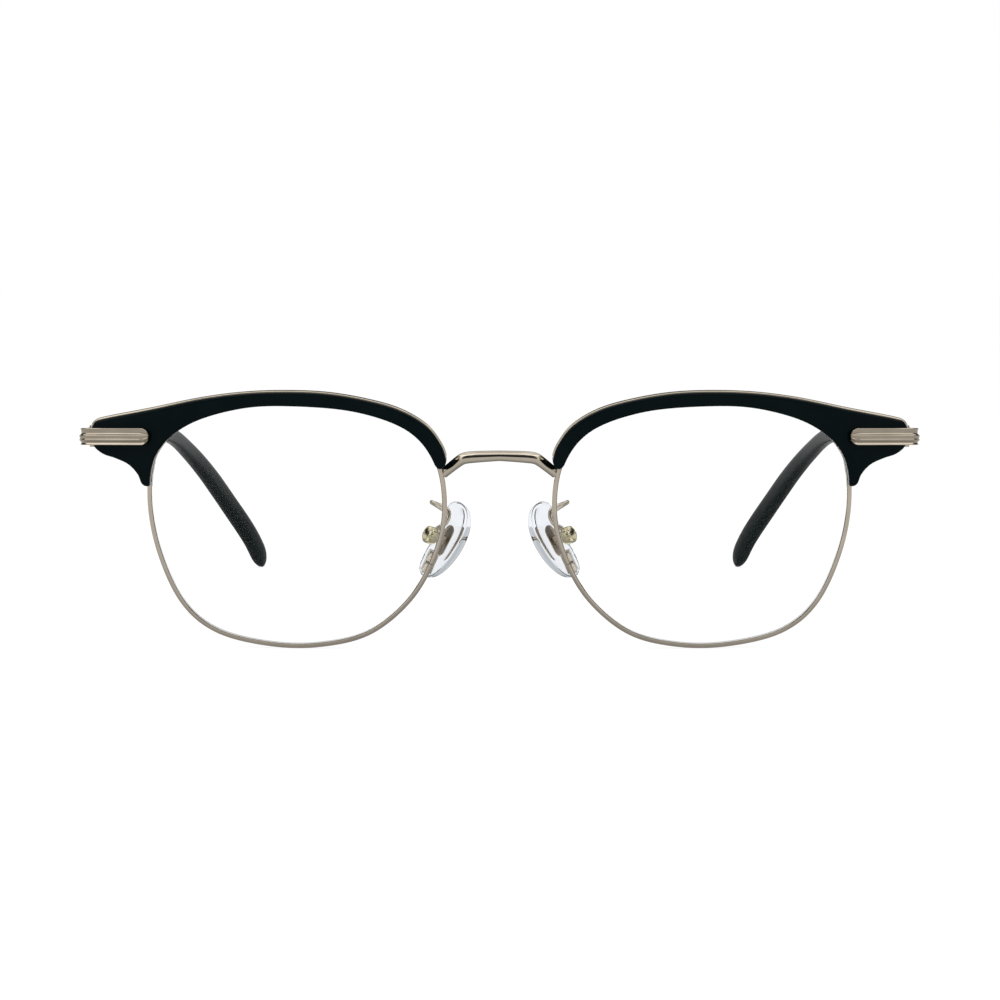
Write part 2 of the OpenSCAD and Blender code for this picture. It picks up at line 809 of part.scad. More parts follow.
module core_outline(extra) {
    round_r = core_w / 2 + extra;
    for (end = [-1, 1]) translate([0, end * (core_len - core_w) / 2]) circle(r = round_r, $fn = 40);
    square([2 * round_r, core_len - core_w], center = true);
}

module pad_core() {
    color(pale_gold) at_pad() difference() {
        union() {
            translate([0, 0, pad_back + 0.3]) linear_extrude(height = core_t) core_outline(0);
            rotate([0, 90, 0]) cylinder(r = lug_r, h = 2 * lug_half, center = true, $fn = round_fn);
            translate([-lug_half, -lug_r, 0]) cube([2 * lug_half, 2 * lug_r, pad_back + 0.4]);
        }
        rotate([0, 90, 0]) cylinder(r = pad_screw_r + run, h = 4, center = true, $fn = round_fn);
    }
}

// Where the cup's domed back lies at a distance from its middle
function dome_z(r) = box_dome_r - box_back - sqrt(box_dome_r * box_dome_r - r * r);

// A round cup behind the pad, slotted for the lug and flat where the screw goes through
module pad_box() {
    slot = lug_half + fit;
    color(pale_gold) at_pad() difference() {
        intersection() {
            translate([0, 0, -box_back])
                cylinder(r = box_r, h = box_back + box_rise, $fn = round_fn);
            translate([0, 0, box_dome_r - box_back]) sphere(r = box_dome_r, $fn = round_fn);
            cube([2 * box_half_w, 4 * box_r, 4 * box_r], center = true);
        }
        translate([-slot, -2 * box_r, -lug_r - box_play]) cube([2 * slot, 4 * box_r, 4 * box_r]);
        rotate_extrude($fn = round_fn) translate([box_groove_at, dome_z(box_groove_at)])
            circle(r = box_groove_r, $fn = 24);
        rotate([0, 90, 0]) cylinder(r = pad_screw_r + 0.01, h = 6, center = true, $fn = round_fn);
    }
}

module pad_screw() {
    color(pale_gold) at_pad() {
        rotate([0, 90, 0]) cylinder(r = pad_screw_r, h = 2 * box_half_w, center = true,
            $fn = round_fn);
        difference() {
            translate([box_half_w, 0, 0]) rotate([0, 90, 0])
                cylinder(r = pad_head_r, h = pad_head_h, $fn = round_fn);
            translate([box_half_w + pad_head_h, 0, 0])
                cube([0.24, 0.22, 2 * pad_head_r], center = true);
        }
    }
}

module pad_arm() {
    path = open_curve([for (p = arm_points) p + [bridge_gap / 2, nose_back, 0]], 3);
    color(champagne) front()
        skin([for (i = [0 : len(path) - 1])
            ring(path[i], heading(path, i), [0.3, 0.2, 1], oblong(wire_r, wire_r, 1, 8))]);
}

bridge();

left() rim();  // left_rim
left() lens();  // left_lens
left() brow();  // left_brow
left() brow_trim();  // left_brow_trim
left() brow_tab();  // left_brow_tab
left() brow_screws();  // left_brow_screws
left() rim_lug();  // left_rim_lug
left() end_piece();  // left_end_piece
left() closing_block();  // left_closing_block
left() closing_screw();  // left_closing_screw
left() pad_arm();  // left_pad_arm
left() pad_box();  // left_pad_box
left() pad_screw();  // left_pad_screw
left() pad_core();  // left_pad_core
left() nose_pad();  // left_nose_pad
left() hinge_front();  // left_hinge_front
left() hinge_screw();  // left_hinge_screw
left() hinge_temple();  // left_hinge_temple
left() temple_arm();  // left_temple_arm
left() temple_tip();  // left_temple_tip

right() rim();  // right_rim
right() lens();  // right_lens
right() brow();  // right_brow
right() brow_trim();  // right_brow_trim
right() brow_tab();  // right_brow_tab
right() brow_screws();  // right_brow_screws
right() rim_lug();  // right_rim_lug
right() end_piece();  // right_end_piece
right() closing_block();  // right_closing_block
right() closing_screw();  // right_closing_screw
right() pad_arm();  // right_pad_arm
right() pad_box();  // right_pad_box
right() pad_screw();  // right_pad_screw
right() pad_core();  // right_pad_core
right() nose_pad();  // right_nose_pad
right() hinge_front();  // right_hinge_front
right() hinge_screw();  // right_hinge_screw
right() hinge_temple();  // right_hinge_temple
right() temple_arm();  // right_temple_arm
right() temple_tip();  // right_temple_tip
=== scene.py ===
"""Browline glasses: the finish of every piece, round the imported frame."""

import json
import math

import bmesh
import bpy
from mathutils import Matrix, Vector


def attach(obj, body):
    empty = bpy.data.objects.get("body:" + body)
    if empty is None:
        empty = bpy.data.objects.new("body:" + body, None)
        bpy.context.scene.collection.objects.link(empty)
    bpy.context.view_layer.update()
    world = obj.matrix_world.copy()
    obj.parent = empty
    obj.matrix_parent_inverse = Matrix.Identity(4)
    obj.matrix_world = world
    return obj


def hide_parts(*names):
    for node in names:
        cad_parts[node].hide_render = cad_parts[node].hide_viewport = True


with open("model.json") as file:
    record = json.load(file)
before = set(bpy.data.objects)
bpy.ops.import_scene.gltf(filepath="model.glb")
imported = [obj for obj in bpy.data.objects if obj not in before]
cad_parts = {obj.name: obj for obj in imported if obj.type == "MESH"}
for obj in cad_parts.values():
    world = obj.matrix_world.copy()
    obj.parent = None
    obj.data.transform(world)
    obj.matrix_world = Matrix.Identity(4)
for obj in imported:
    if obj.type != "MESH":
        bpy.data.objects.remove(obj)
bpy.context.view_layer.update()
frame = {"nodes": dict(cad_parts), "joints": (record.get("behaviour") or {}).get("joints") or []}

MM = 0.001
SIDES = ("left", "right")

# Lenses and rims, in millimetres
LENS_THICKNESS = 1.5
NOSE_GAP = 18.4
LENS_WIDTH = 50
RIM_WIDTH = 0.85
RIM_DEPTH = 1.6
LENS_BACK_OFF = 0.475
BALL_RADIUS = 125
WRAP = math.radians(4)
TILT = math.radians(7)
LENS_X = NOSE_GAP / 2 + LENS_WIDTH / 2

# The lens outline, from the top by way of the nose, about the lens's middle
LENS_POINTS = [
    (0.3, 20.5), (-10.5, 19.5), (-19.2, 16.2), (-23.7, 10.4), (-24.9, 2.5), (-23.4, -5),
    (-19.2, -12.8), (-12.2, -18.8), (-3.8, -21.05), (5, -21.05), (14.1, -18.9), (20, -13.9),
    (23.9, -5), (25.3, 4), (24.05, 11.75), (18.55, 17), (9.5, 19.95),
]
SLIT_AT = 5.25
SLIT_HALF = 0.006

# The brow's top edge, its foot beyond the lens, and its round nose end
BROW_TOP_POINTS = [
    (-25.3, 10.95), (-24.45, 13.45), (-21.95, 16.75), (-17.65, 19.35), (-12.4, 20.95),
    (-5.8, 22.1), (0.9, 22.42), (8.5, 22.1), (16.2, 21), (24.8, 19.05), (32.7, 17.3),
    (34.7, 16.5), (35.35, 14.8),
]
BROW_FOOT_POINTS = [
    (24.75, 6.4), (25.5, 6.15), (26.4, 6.6), (27.1, 8.2), (28.75, 9.8), (31.15, 10.75),
    (33.1, 11.3), (34.8, 12.6), (35.35, 14.8),
]
BROW_NOSE_POINTS = [(-25.3, 10.95), (-25.05, 10.15), (-24.4, 9.6), (-23.8, 9.7)]

# Which place on the lens outline, and then on the foot, lies across from which on the top edge
BROW_RIBS = [(3, 0), (2, 2.4), (1, 4.25), (0, 5.9), (-1, 7.15), (-2, 8.3), (-3, 8.85), (-3.6, 9.05)]
FOOT_RIBS = [(0, 9.05), (3, 9.5), (5, 10.3), (7, 11)]
NOSE_RIB_AT, HORN_RIB_AT = BROW_RIBS[0][0], BROW_RIBS[-1][0]

# The brow's depths from the lens's middle, and how far its edges are rounded and set back
BROW_FRONT = -3.45
BROW_BACK = 0.8
BROW_STEP = -0.85
BROW_REBATE = 0.475
BROW_LIP_AT_HORN, BROW_LIP_AT_TOP = 0.3, 0.4
BROW_LIP_GROWS_OVER = 1.6
BROW_ROUND = 0.4
BROW_BACK_ROUND = 0.18
BROW_FOOT_REBATE = 0.6
LENS_RIBS, END_RIBS = 66, 22

# The trim runs between two places on the brow's top edge
TRIM_FROM, TRIM_TO = 0.4, 11.75
TRIM_GAP = 0.02
TRIM_THICKNESS = 0.22
TRIM_FRONT = -2.75
TRIM_BACK = -1.1

# End pieces and hinges
HINGE_AT = Vector((68.65, 12.3165, 14.7))
END_MID_X = 71.1
END_HEIGHT = 2.9
END_THICKNESS = 1
END_GAP = 0.15
END_CORNER = 2.2
PLATE_START = LENS_X + LENS_WIDTH / 2 - 0.1

# Temples: distances along them are from the hinge
TEMPLE_POINTS = [
    (70.75, 12.45, 14.7), (70.75, 20, 14.7), (69.5, 45, 14.7), (67.4, 78, 14.6),
    (65.9, 95, 14), (63.9, 108, 10.8), (61.1, 118, 6.1), (57.7, 127, -0.2),
    (53.45, 135.5, -8.1), (51.15, 140.4, -14.35),
]
TEMPLE_STOPS = 16
ARM_THICKNESS = 1.3
ARM_END_HEIGHT = 2.3
ARM_TAPER_FROM = 10
TIP_START = 50
TIP_LAP = 3.9
CORE_RADIUS = 0.6
CORE_NECK = 1.6
CORE_SHORT = 6
SOCKET_SLACK = 0.05
TIP_BEGIN = (2.2, 3.1)
TIP_END = (2.7, 4.4)
TIP_GROW_FROM, TIP_GROW_LENGTH = 30, 32
TIP_MOUTH = 0.5
TIP_MOUTH_SHARE = 0.94
TIP_ROUND = 4.5

# Bridge: its way from the rim to the middle, with X from the lens's inner edge
BRIDGE_POINTS = [
    (0.3, 1.15, 8.4), (-1.2, 0.75, 9.75), (-2.35, 0.42, 10.72), (-3.1, 0.2, 11.2),
    (-4.2, -0.1, 11.45), (-6, -0.55, 11.6), (-9.2, -0.9, 11.7),
]
BRIDGE_HEIGHT = 1.7
BRIDGE_DEPTH = 1.5
BRIDGE_GROWTH = 0.15
BRIDGE_CORNER = 4.5
BRIDGE_LEG = 3

# Nose pads, on axes of their own about the screw, and the way of the arms from the rims
PAD_SCREW_AT = Vector((NOSE_GAP / 2 + 2.6, 5.15, -2.8))
PAD_SLANT = math.radians(27)
PAD_SPLAY = math.radians(30)
PAD_LENGTH = 14.3
PAD_WIDTH = 8.2
PAD_THICKNESS = 2.2
PAD_BACK = 2.85
PAD_MIDDLE = -0.2
PAD_CROWN = 26
PAD_POINTS = [
    (-0.5, 0.36), (-0.46, 0.05), (-0.48, -0.25), (-0.4, -0.45), (-0.12, -0.5), (0.2, -0.4),
    (0.42, -0.15), (0.5, 0.12), (0.44, 0.34), (0.22, 0.47), (-0.1, 0.5), (-0.36, 0.47),
]
WIRE_RADIUS = 0.4
ARM_POINTS = [
    (0.05, 2.15, 1.9), (1.3, 3, 2.6), (2.3, 4.3, 3), (2.1, 5.5, 2.7), (0.9, 6.2, 2.1),
    (-0.3, 6.1, 1.4), (-0.55, 5.8, 0.5), (-0.2, 5.5, -0.5), (0.5, 5.4, -1.15),
    (1.25, 5.3, -1.5), (1.9, 5.25, -2),
]
CUP_RADIUS = 1.5
CUP_HALF_WIDTH = 1.25
CUP_BACK = -1.15
CUP_FRONT = 0.7
CUP_DOME = 3

# Camera, in the axes that the temples were drawn in, and half the width that it sees there
CAMERA_AWAY = 500
CAMERA_LIFT = 4
CAMERA_SIDE = 0.08
LOOK_DOWN = math.radians(1.7)
HALF_WIDTH = 84.5

# Merging and smoothing of meshes, in millimetres and radians
SHARP_ANGLE = math.radians(38)
MERGE = 1e-5
CAD_MERGE = 1e-4
FLAT_ANGLE = math.radians(2)
BROKEN_FROM = 0.7
BROKEN_EDGE = 0.05

# How the glasses stand follows from the left hinge in the frame
hinge = next(j for j in frame["joints"] if j["name"] == "left_temple_hinge")
STAND_PITCH = math.atan2(hinge["axis"][1], hinge["axis"][2])
UPRIGHT = Matrix.Rotation(-STAND_PITCH, 4, "X") @ Matrix.Scale(MM, 4)
TEMPLES = Matrix.Translation(Vector(hinge["pos_m"]) - UPRIGHT @ HINGE_AT) @ UPRIGHT
FRONT = TEMPLES @ Matrix.Rotation(TILT, 4, "X")
MIRROR = Matrix.Scale(-1, 4, Vector((1, 0, 0)))


# Curves

def smooth(a, b, c, d, t):
    """The point a part of the way from b to c, on a smooth curve through a, b, c and d."""
    return 0.5 * (2 * b + (c - a) * t + (2 * a - 5 * b + 4 * c - d) * t * t
                  + (3 * b - a - 3 * c + d) * t ** 3)


def closed_at(points, s):
    """The place s points along a smooth closed curve."""
    n, i = len(points), math.floor(s)
    return smooth(*(Vector(points[(i + k) % n]) for k in (-1, 0, 1, 2)), s - i)


def open_at(points, s):
    """The place s points along a smooth open curve."""
    last = len(points) - 1
    i = min(int(s), last - 1)
    return smooth(*(Vector(points[min(max(i + k, 0), last)]) for k in (-1, 0, 1, 2)), s - i)


def stops(start, end, count):
    return [start + (end - start) * i / count for i in range(count + 1)]


def mixed(a, b, t):
    """From a to b as t grows from 0 to 1, and no further."""
    return a + (b - a) * min(1, max(0, t))


def out_of(curve, points, s):
    """The direction out of an outline that goes round to the left."""
    along = curve(points, s + 0.05) - curve(points, s - 0.05)
    return Vector((along.y, -along.x)).normalized()


def lens_out(s):
    return out_of(closed_at, LENS_POINTS, s)


def lens_point(s, out=0.0):
    return closed_at(LENS_POINTS, s) + out * lens_out(s)


def squared_circle(square, count):
    """A round section of half width and half height 1, squarer as the power falls."""
    turns = [math.tau * (k + 0.5) / count for k in range(count)]
    return [tuple(math.copysign(abs(c) ** square, c) for c in (math.cos(a), math.sin(a)))
            for a in turns]


# Meshes

def chain(bm, points, closed):
    """A row of vertices joined by edges."""
    verts = [bm.verts.new(p) for p in points]
    pairs = zip(verts, verts[1:] + verts[:1]) if closed else zip(verts, verts[1:])
    for pair in pairs:
        bm.edges.new(pair)
    return verts


def drawn_out(bm, verts, closed):
    """Extrudes a row of vertices, and returns the new row in the same order."""
    pairs = zip(verts, verts[1:] + verts[:1]) if closed else zip(verts, verts[1:])
    edges = [bm.edges.get(pair) for pair in pairs]
    made = bmesh.ops.extrude_edge_only(bm, edges=edges)["geom"]
    new = {g for g in made if isinstance(g, bmesh.types.BMVert)}
    return [next(e.other_vert(v) for e in v.link_edges if e.other_vert(v) in new) for v in verts]


def capped(bm, verts):
    """Shuts a ring of vertices with one face."""
    edges = [bm.edges.get(pair) for pair in zip(verts, verts[1:] + verts[:1])]
    bmesh.ops.edgeloop_fill(bm, edges=edges)


def sweep(bm, frames, section):
    """A closed section drawn out along frames, whose Y runs along the way, with both ends shut."""
    ring = chain(bm, [frames[0] @ Vector((a, 0, b)) for a, b in section], True)
    first = ring
    for before, after in zip(frames, frames[1:]):
        ring = drawn_out(bm, ring, True)
        bmesh.ops.transform(bm, matrix=after @ before.inverted(), verts=ring)
    capped(bm, first)
    capped(bm, ring)


def loft(bm, rings):
    """A closed shell through rings of as many points each."""
    ring = chain(bm, rings[0], True)
    capped(bm, ring)
    for points in rings[1:]:
        ring = drawn_out(bm, ring, True)
        for vert, point in zip(ring, points):
            vert.co = point
    capped(bm, ring)


def frame_at(middle, along, up, scale=(1, 1)):
    """Axes square to a way: X to its right, Y along it and Z as upright as can be."""
    y = along.normalized()
    z = (up - up.dot(y) * y).normalized()
    x = y.cross(z)
    axes = Matrix((x * scale[0], y, z * scale[1])).transposed().to_4x4()
    return Matrix.Translation(middle) @ axes


def frames_along(path, ups, scales=None):
    last = len(path) - 1
    return [frame_at(p, path[min(i + 1, last)] - path[max(i - 1, 0)], ups[i],
                     scales[i] if scales else (1, 1))
            for i, p in enumerate(path)]


def flat_frame(point, out):
    """Axes in the flattened front: X out of the outline, Z into the depth."""
    x = Vector((out.x, 0, out.y))
    z = Vector((0, 1, 0))
    axes = Matrix((x, z.cross(x), z)).transposed().to_4x4()
    return Matrix.Translation(Vector((point.x, 0, point.y))) @ axes


def face_depth(u, v, off):
    """Depth of the ball that the front follows, off millimetres behind the lens's middle."""
    return BALL_RADIUS * math.cos(WRAP) - math.sqrt(
        (BALL_RADIUS - off) ** 2 - (u + BALL_RADIUS * math.sin(WRAP)) ** 2 - v ** 2)


def onto_ball(bm):
    """Bends a flattened front onto its ball."""
    for vert in bm.verts:
        u, off, v = vert.co
        vert.co = Vector((LENS_X + u, face_depth(u, v, off), v))


def softened(bm, edges, width, segments, clamped=False):
    """Rounds some edges over."""
    bmesh.ops.bevel(bm, geom=edges, offset=width, offset_type="OFFSET", segments=segments,
                    profile=0.5, affect="EDGES", material=-1, clamp_overlap=clamped)


def piece(name, bm, place, side, body, material, nodes):
    """Puts a finished shape in its place, on its body, for the CAD nodes it stands for."""
    bmesh.ops.remove_doubles(bm, verts=bm.verts, dist=MERGE)
    bmesh.ops.transform(bm, matrix=MIRROR @ place if side == "right" else place, verts=bm.verts)
    bmesh.ops.recalc_face_normals(bm, faces=bm.faces)
    for face in bm.faces:
        face.smooth = True
    for edge in bm.edges:
        edge.smooth = len(edge.link_faces) != 2 or edge.calc_face_angle() < SHARP_ANGLE
    mesh = bpy.data.meshes.new(name)
    bm.to_mesh(mesh)
    bm.free()
    obj = bpy.data.objects.new(name, mesh)
    bpy.context.scene.collection.objects.link(obj)
    mesh.materials.append(material)
    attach(obj, body)
    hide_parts(*nodes)
    return obj


# Finishes

def finish(name, slot, tones, rough, grain, bump=0.0, **sockets):
    """Two close tones in a soft mottle, with uneven gloss and a fine bump."""
    material = bpy.data.materials.new(name)
    material["slot"] = slot
    material.use_nodes = True
    nodes, links = material.node_tree.nodes, material.node_tree.links
    shader = nodes["Principled BSDF"]
    for socket, value in sockets.items():
        shader.inputs[socket.replace("_", " ")].default_value = value
    place = nodes.new("ShaderNodeTexCoord")

    def noise(size, detail):
        node = nodes.new("ShaderNodeTexNoise")
        node.inputs["Scale"].default_value = 1 / (size * MM)
        node.inputs["Detail"].default_value = detail
        links.new(place.outputs["Object"], node.inputs["Vector"])
        return node.outputs["Fac"]

    mottle = noise(grain[0], 3)
    fine = noise(grain[1], 4)
    ramp = nodes.new("ShaderNodeValToRGB")
    ramp.color_ramp.elements[0].position = 0.35
    ramp.color_ramp.elements[1].position = 0.68
    for element, tone in zip(ramp.color_ramp.elements, tones):
        element.color = (*tone, 1)
    links.new(mottle, ramp.inputs["Fac"])
    links.new(ramp.outputs["Color"], shader.inputs["Base Color"])
    gloss = nodes.new("ShaderNodeMapRange")
    gloss.inputs["To Min"].default_value, gloss.inputs["To Max"].default_value = rough
    links.new(fine, gloss.inputs["Value"])
    links.new(gloss.outputs["Result"], shader.inputs["Roughness"])
    if bump:
        relief = nodes.new("ShaderNodeBump")
        relief.inputs["Distance"].default_value = bump * MM
        relief.inputs["Strength"].default_value = 0.5
        links.new(fine, relief.inputs["Height"])
        links.new(relief.outputs["Normal"], shader.inputs["Normal"])
    return material


BLACK_ACETATE = finish(
    "polished black acetate", "black_acetate", ((0.0008, 0.004, 0.0048), (0.0014, 0.0052, 0.0062)),
    rough=(0.12, 0.2), grain=(6, 0.8), bump=0.004, Specular_IOR_Level=0.05)
SATIN_ACETATE = finish(
    "satin black acetate", "black_acetate", ((0.003, 0.0075, 0.0085), (0.0045, 0.0098, 0.011)),
    rough=(0.26, 0.32), grain=(5, 2), bump=0.001, Specular_IOR_Level=0.09)
CHAMPAGNE = finish(
    "satin champagne plating", "champagne", ((0.54, 0.48, 0.40), (0.60, 0.53, 0.44)),
    rough=(0.08, 0.14), grain=(3, 0.6), bump=0.001, Metallic=1.0)
POLISHED = finish(
    "polished champagne plating", "champagne", ((0.50, 0.45, 0.37), (0.54, 0.485, 0.40)),
    rough=(0.04, 0.08), grain=(3, 0.6), bump=0.0005, Metallic=1.0)
PALE_GOLD = finish(
    "pale gold plating", "pale_gold", ((0.54, 0.48, 0.385), (0.60, 0.53, 0.42)),
    rough=(0.1, 0.17), grain=(4, 0.6), bump=0.001, Metallic=1.0)
# A darker copy of the pale gold: painted shade that darkens the fluted end plates
FLUTED_GOLD_PAINTED_SHADE = finish(
    "pale gold darkened as painted shade on the fluted plates", "pale_gold", ((0.36, 0.315, 0.25), (0.40, 0.35, 0.28)),
    rough=(0.05, 0.1), grain=(4, 0.6), bump=0.001, Metallic=1.0)
GILT = finish(
    "gilt pad cup", "pale_gold", ((0.66, 0.60, 0.41), (0.72, 0.66, 0.46)),
    rough=(0.1, 0.16), grain=(3, 0.6), bump=0.001, Metallic=1.0)
BRONZE = finish(
    "bronze pad core", "pale_gold", ((0.36, 0.30, 0.235), (0.46, 0.385, 0.30)),
    rough=(0.22, 0.36), grain=(2, 0.2), bump=0.006, Metallic=1.0)
STEEL = finish(
    "turned steel", "steel", ((0.50, 0.48, 0.45), (0.58, 0.56, 0.52)),
    rough=(0.22, 0.34), grain=(2, 0.15), bump=0.004, Metallic=1.0)
LENS_GLASS = finish(
    "clear lens", "clear_lens", ((0.985, 0.995, 0.995), (0.995, 1.0, 1.0)),
    rough=(0.0, 0.004), grain=(30, 5), Transmission_Weight=1.0, IOR=1.12)
PAD_SILICONE = finish(
    "clear pad silicone", "clear_pad", ((0.85, 0.88, 0.92), (0.895, 0.92, 0.95)),
    rough=(0.0, 0.02), grain=(5, 1.2), bump=0.002, Transmission_Weight=1.0, IOR=1.4)


# Front

def rim(side):
    """A crowned wire with a groove for the lens's ridge, open by a slit at the closing block."""
    w, d = RIM_WIDTH / 2, RIM_DEPTH / 2
    edge = [(w, d - 0.32), (w - 0.03, d - 0.2), (w - 0.09, d - 0.11), (w - 0.19, d - 0.04)]
    edge.append((w - 0.32, d - 0.01))
    outer = [(a, -b) for a, b in reversed(edge)] + [(w, 0)] + edge
    inner = [(-a, b) for a, b in reversed(edge)] + [(-w, 0.35), (0.3 - w, 0.08)]
    section = outer + inner + [(a, -b) for a, b in reversed(inner)]
    ways = stops(SLIT_AT + SLIT_HALF, SLIT_AT + len(LENS_POINTS) - SLIT_HALF, 170)
    bm = bmesh.new()
    sweep(bm, [flat_frame(lens_point(s), lens_out(s)) for s in ways], section)
    onto_ball(bm)
    piece(f"{side}_rim_wire", bm, FRONT, side, "front", CHAMPAGNE, [f"{side}_rim"])


def lens(side):
    """A curved blank with a ridge round its edge."""
    half, back_off = LENS_THICKNESS / 2, -LENS_BACK_OFF
    inward = (0.03, 0.12, 0.25, 0.4, 0.55, 0.7, 0.84, 0.94)
    face = [(share, back_off, half) for share in inward]
    edge = [(1, back_off, half), (1, back_off, 0.3), (1, -0.14, 0.04)]
    profile = face + edge
    profile += [(share, out, -off) for share, out, off in reversed(profile)]
    ways = stops(0, len(LENS_POINTS), 8 * len(LENS_POINTS))[:-1]
    bm = bmesh.new()
    loft(bm, [[Vector((p.x, off, p.y)) for s in ways for p in [share * lens_point(s, out)]]
              for share, out, off in profile])
    onto_ball(bm)
    piece(f"{side}_lens_blank", bm, FRONT, side, "front", LENS_GLASS, [f"{side}_lens"])


def across_from(table, s):
    """Where on the brow's top edge the rib from a place on its inner edge ends."""
    for (s0, t0), (s1, t1) in zip(table, table[1:]):
        if min(s0, s1) <= s <= max(s0, s1):
            return t0 + (t1 - t0) * (s - s0) / (s1 - s0)
    return table[-1][1]


def brow_lip(s):
    """How far the brow's inner edge comes in over the rim's middle."""
    return mixed(BROW_LIP_AT_HORN, BROW_LIP_AT_TOP, (s - HORN_RIB_AT) / BROW_LIP_GROWS_OVER)


def brow_ribs():
    """The brow's ribs seen from the front, from the nose outwards: foot, top and rebate."""
    ribs = []
    for s in stops(NOSE_RIB_AT, HORN_RIB_AT, LENS_RIBS):
        foot = lens_point(s, -brow_lip(s))
        top = open_at(BROW_TOP_POINTS, across_from(BROW_RIBS, s))
        lean = max(0.35, lens_out(s).dot((top - foot).normalized()))
        ribs.append((foot, top, (BROW_REBATE + brow_lip(s)) / lean))
    tip_rebate = ribs[-1][2]
    foot_end = len(BROW_FOOT_POINTS) - 2
    for t in stops(0, 1, END_RIBS)[1:]:
        foot = open_at(BROW_FOOT_POINTS, t * foot_end)
        top = open_at(BROW_TOP_POINTS, across_from(FOOT_RIBS, t * foot_end))
        ribs.append((foot, top, mixed(tip_rebate, BROW_FOOT_REBATE, 3 * t)))
    return ribs


def brow(side):
    """The brow's front view, drawn out forwards whole and backwards without its rebate."""
    ribs = brow_ribs()
    bm = bmesh.new()

    def across(rib):
        foot, top, rebate = rib
        start = foot + (top - foot).normalized() * rebate
        row = [foot, start] + [start.lerp(top, t) for t in (0.25, 0.5, 0.75, 1)]
        return [Vector((p.x, BROW_STEP, p.y)) for p in row]

    rows = [chain(bm, across(ribs[0]), False)]
    for rib in ribs[1:]:
        rows.append(drawn_out(bm, rows[-1], False))
        for vert, point in zip(rows[-1], across(rib)):
            vert.co = point
    rebate = {f for row, after in zip(rows[:LENS_RIBS], rows[1:])
              for f in bm.edges.get((row[0], after[0])).link_faces}

    def rounded_end(row, points, ways):
        ends = [bm.verts.new((p.x, BROW_STEP, p.y)) for p in (open_at(points, s) for s in ways)]
        bm.faces.new(row + ends)

    foot = lens_point(NOSE_RIB_AT, -brow_lip(NOSE_RIB_AT))
    rounded_end(list(rows[0]), BROW_NOSE_POINTS + [tuple(foot)], stops(0, 4, 12)[1:-1])
    end = [BROW_TOP_POINTS[-2], BROW_TOP_POINTS[-1], BROW_FOOT_POINTS[-2]]
    rounded_end(list(rows[-1]), end, stops(0, 2, 8)[1:-1])
    bmesh.ops.recalc_face_normals(bm, faces=bm.faces)

    def moved(faces, depth):
        made = bmesh.ops.extrude_face_region(bm, geom=faces)["geom"]
        verts = [g for g in made if isinstance(g, bmesh.types.BMVert)]
        bmesh.ops.translate(bm, vec=(0, depth, 0), verts=verts)

    plan = list(bm.faces)
    back = [f for f in plan if f not in rebate]
    moved(plan, BROW_FRONT - BROW_STEP)
    moved(back, BROW_BACK - BROW_STEP)
    bmesh.ops.recalc_face_normals(bm, faces=bm.faces)

    def brink(depth):
        return [e for e in bm.edges if all(abs(v.co.y - depth) < 0.01 for v in e.verts)
                and e.calc_face_angle(0) > 1]

    softened(bm, brink(BROW_FRONT), BROW_ROUND, 5)
    softened(bm, brink(BROW_BACK), BROW_BACK_ROUND, 2)
    onto_ball(bm)
    piece(f"{side}_brow_acetate", bm, FRONT, side, "front", BLACK_ACETATE, [f"{side}_brow"])


def brow_trim(side):
    low, high = TRIM_GAP, TRIM_GAP + TRIM_THICKNESS
    section = [(low, TRIM_FRONT), (high - 0.12, TRIM_FRONT), (high - 0.03, TRIM_FRONT + 0.05),
               (high, TRIM_FRONT + 0.14), (high, TRIM_BACK - 0.12), (high - 0.1, TRIM_BACK),
               (low, TRIM_BACK)]
    frames = []
    for s in stops(TRIM_FROM, TRIM_TO, 110):
        up = -out_of(open_at, BROW_TOP_POINTS, s)
        frames.append(flat_frame(open_at(BROW_TOP_POINTS, s), up))
    bm = bmesh.new()
    sweep(bm, frames, section)
    onto_ball(bm)
    piece(f"{side}_brow_trim_strip", bm, FRONT, side, "front", PALE_GOLD, [f"{side}_brow_trim"])


def bridge():
    half = [open_at(BRIDGE_POINTS, s) + Vector((NOSE_GAP / 2, 0, 0))
            for s in stops(0, len(BRIDGE_POINTS) - 1, 48)]
    path = [Vector((-p.x, p.y, p.z)) for p in half] + list(reversed(half))[1:]
    back, front, tall = -BRIDGE_DEPTH / 2, BRIDGE_DEPTH / 2, BRIDGE_HEIGHT / 2
    section = [
        (back, -0.6), (back + 0.15, -0.8), (back + 0.3, -tall), (front - 0.48, -tall),
        (front - 0.28, -0.8), (front - 0.13, -0.7), (front - 0.04, -0.56), (front, -0.42),
        (front, -0.22), (front - 0.005, -0.06), (front - 0.04, 0.03), (front - 0.08, 0.15),
        (front - 0.12, 0.28), (front - 0.17, 0.38), (front - 0.24, 0.49), (front - 0.35, 0.61),
        (front - 0.5, 0.72), (front - 0.7, 0.81), (front - 0.9, tall), (back + 0.3, tall),
        (back + 0.15, 0.8), (back, 0.6),
    ]
    # The bar grows lower towards its corners and slims again down to the rims
    growth = [min(1, abs(p.x) / BRIDGE_CORNER) * min(1, (NOSE_GAP / 2 - abs(p.x)) / BRIDGE_LEG)
              for p in path]
    path = [p - Vector((0, 0, BRIDGE_GROWTH * tall * g)) for p, g in zip(path, growth)]
    scales = [(1, 1 + BRIDGE_GROWTH * g) for g in growth]
    bm = bmesh.new()
    sweep(bm, frames_along(path, [Vector((0, 0, 1))] * len(path), scales), section)
    piece("bridge_bar", bm, FRONT, "left", "front", POLISHED, ["bridge"])


# End pieces and temples

def plate_point(x):
    """A place on the plate in front of the brow, level with the hinge."""
    u, z = x - LENS_X, HINGE_AT.z
    v = (z - face_depth(u, z, 0) * math.sin(TILT)) / math.cos(TILT)
    deep = face_depth(u, v, BROW_FRONT - END_GAP - END_THICKNESS / 2)
    return Vector((x, deep * math.cos(TILT) - v * math.sin(TILT), z))


